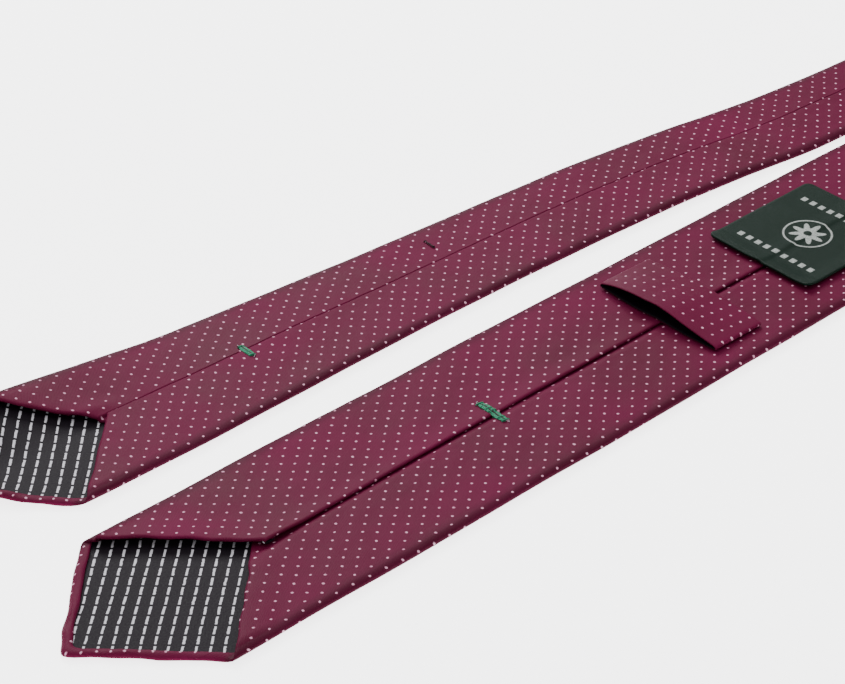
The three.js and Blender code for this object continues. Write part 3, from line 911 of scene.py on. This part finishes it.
def make_keeper():
    """The loop. Its angles crowd round the sides and the middle, where the section changes fastest."""
    turns, depth = 144, 16
    turn = np.linspace(0, 2 * math.pi, turns, endpoint=False)
    turn = turn - 0.12 * np.sin(4 * turn)
    along = np.linspace(0, math.pi, depth)
    outer_x = KEEPER_LENGTH / 2 * (1 - np.cos(along))
    profile = [(x, KEEPER_CLOTH / 2 * min(1, 0.35 + 2.2 * math.sin(a))) for x, a in zip(outer_x, along)]
    ring = profile + [(x, -r) for x, r in profile[::-1]]
    points = np.zeros((turns, len(ring), 3))
    cloth = np.zeros_like(points)
    for j, (x, out) in enumerate(ring):
        y, z = keeper_path(turn, x)
        dy = np.roll(y, -1) - np.roll(y, 1)
        dz = np.roll(z, -1) - np.roll(z, 1)
        size = np.maximum(np.hypot(dy, dz), 1e-9)
        wave = 0.25 * ripple(y, 0 * y + x, 30, 51)
        skew = 0.9 * smooth((y + 30) / 60)
        along_band = KEEPER_START + x + wave - skew * (1 - x / KEEPER_LENGTH)
        points[:, j] = np.stack([along_band, y + dz / size * out, z - dy / size * out], -1)
        length = np.concatenate([[0], np.cumsum(np.hypot(np.diff(y), np.diff(z)))])
        # Painted shade: the inner face of the keeper's cloth gets 2, which the silk turns nearly black
        third = np.full(turns, 2.0 if out < 0 else 0.0)
        cloth[:, j] = np.stack([np.full(turns, x / KEEPER_DOTS + 0.15), length / KEEPER_DOTS, third], -1)
    faces = grid_faces(turns, len(ring), wrap_rows=True, wrap_cols=True).tolist()
    return mesh_piece("keeper_cloth", points.reshape(-1, 3), faces, [SILK], cloth=cloth.reshape(-1, 3))


keeper = make_keeper()


# ------------------------------------------------------------------ label
LABEL_X, LABEL_Y, LABEL_LENGTH, LABEL_WIDTH, LABEL_CORNER = 328.5, 0.8, 60, 52, 3
LABEL_CLOTH_THICKNESS = 0.8


def make_label():
    """A flat rectangle with round corners, lying over the seam's step with two edges standing up."""
    a, b = np.meshgrid(np.linspace(-1, 1, 61), np.linspace(-1, 1, 53), indexing="ij")
    x, y = a * LABEL_LENGTH / 2, b * LABEL_WIDTH / 2
    past_x = np.abs(x) - (LABEL_LENGTH / 2 - LABEL_CORNER)
    past_y = np.abs(y) - (LABEL_WIDTH / 2 - LABEL_CORNER)
    corner = (past_x > 0) & (past_y > 0)
    shrink = np.where(corner, np.maximum(past_x, past_y) / np.maximum(np.hypot(past_x, past_y), 1e-9), 1)
    x = np.where(corner, np.sign(x) * (LABEL_LENGTH / 2 - LABEL_CORNER + past_x * shrink), x)
    y = np.where(corner, np.sign(y) * (LABEL_WIDTH / 2 - LABEL_CORNER + past_y * shrink), y)
    tip_side = 1 - smooth((x + LABEL_LENGTH / 2) / 8)
    near_side = 1 - smooth((y + LABEL_WIDTH / 2) / 8)
    across = y + LABEL_Y + 0.7
    far_flap = 0.42 * (1 - smooth(across / 9))
    near_flap = 0.42 * np.exp(across / 1.2) - 0.3 * (1 - smooth(-across / 5))
    over_seam = np.where(across > 0, far_flap, near_flap)
    edges_up = 1.0 * tip_side + 0.75 * near_side * (1 - 0.3 * tip_side)
    z = BAND + 0.58 + LABEL_CLOTH_THICKNESS / 2 + over_seam + edges_up + 0.1 * ripple(x, y, 25, 61)
    points = np.stack([LABEL_X + x, LABEL_Y + y, z], -1)
    cloth = np.stack([x, y, 0 * x], -1)
    return thick_sheet("label_cloth", points, cloth, LABEL_CLOTH_THICKNESS, LABEL_CLOTH, LABEL_CLOTH)


label = make_label()


def bend_blade(piece):
    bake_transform(piece)


def bend_neck(piece):
    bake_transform(piece)


def bend_tail(piece):
    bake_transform(piece)


for piece, node in [(keeper, "keeper_loop"), (label, "label"), (blade_tack, "blade_bar_tack")]:
    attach(piece, "blade_end")
    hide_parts(node)
for piece, node in [(tail_tack, "tail_bar_tack"), (tail_mark, "tail_dark_tack")]:
    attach(piece, "tail_end")
    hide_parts(node)
for piece in (blade_panel, blade_interlining, blade_stitch):
    bend_blade(piece)
for piece in (neck_panel, neck_interlining, neck_stitch):
    bend_neck(piece)
for piece in (tail_panel, tail_interlining, tail_stitch):
    bend_tail(piece)

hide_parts("blade_shell", "blade_shell_upper", "blade_hem_left", "blade_hem_right")
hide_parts("neck_shell_blade_side", "neck_shell_tail_side")
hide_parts("tail_shell", "tail_shell_upper", "tail_hem_left", "tail_hem_right")
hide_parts("blade_interlining")
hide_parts("neck_interlining_blade_side", "neck_interlining_tail_side")
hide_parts("tail_interlining")
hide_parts("slip_stitch_blade")
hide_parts("slip_stitch_neck_blade_side", "slip_stitch_neck_tail_side")
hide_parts("slip_stitch_tail")


# ------------------------------------------------------------------ floor, light and camera
def make_floor():
    n = Nodes("floor_pale")
    place = n.add("ShaderNodeTexCoord").outputs["Object"]
    grain = n.noise(place, 4.0, 2.0)
    n.set(Base_Color=n.mix(grain, (0.93, 0.93, 0.935, 1), (0.96, 0.96, 0.96, 1)), Roughness=0.85)
    n.set(Emission_Color=n.mix(grain, (0.98, 0.98, 1, 1), (1, 1, 1, 1)), Emission_Strength=3.6)
    bpy.ops.mesh.primitive_plane_add(size=12, location=(0.3, 0.05, -0.0006))
    floor = bpy.context.object
    floor.name = "floor"
    floor.data.materials.append(n.material)


def make_light(name, place, aim, size, power):
    data = bpy.data.lights.new(name, "AREA")
    data.shape = "SQUARE"
    data.size = size
    data.energy = power
    light = bpy.data.objects.new(name, data)
    light.location = place
    light.rotation_euler = (Vector(aim) - Vector(place)).to_track_quat("-Z", "Y").to_euler()
    bpy.context.scene.collection.objects.link(light)


def make_world():
    world = bpy.data.worlds.new("studio")
    world.use_nodes = True
    world.node_tree.nodes["Background"].inputs["Color"].default_value = (1, 1, 1, 1)
    world.node_tree.nodes["Background"].inputs["Strength"].default_value = 0.62
    bpy.context.scene.world = world


def make_camera():
    data = bpy.data.cameras.new("camera")
    data.lens = 123.55
    data.sensor_width = 36
    data.clip_start = 0.01
    camera = bpy.data.objects.new("camera", data)
    camera.location = (-0.4406, -0.6109, 0.6219)
    aim = Vector((0.1663, 0.0499, 0.003))
    camera.rotation_euler = (aim - camera.location).to_track_quat("-Z", "Y").to_euler()
    bpy.context.scene.collection.objects.link(camera)
    bpy.context.scene.camera = camera


make_floor()
make_world()
make_light("key", (0.9, 1.5, 1.3), (0.2, 0.05, 0), 0.9, 44)
make_light("top", (0.1, 0.3, 1.8), (0.2, 0.05, 0), 1.4, 12)
make_camera()
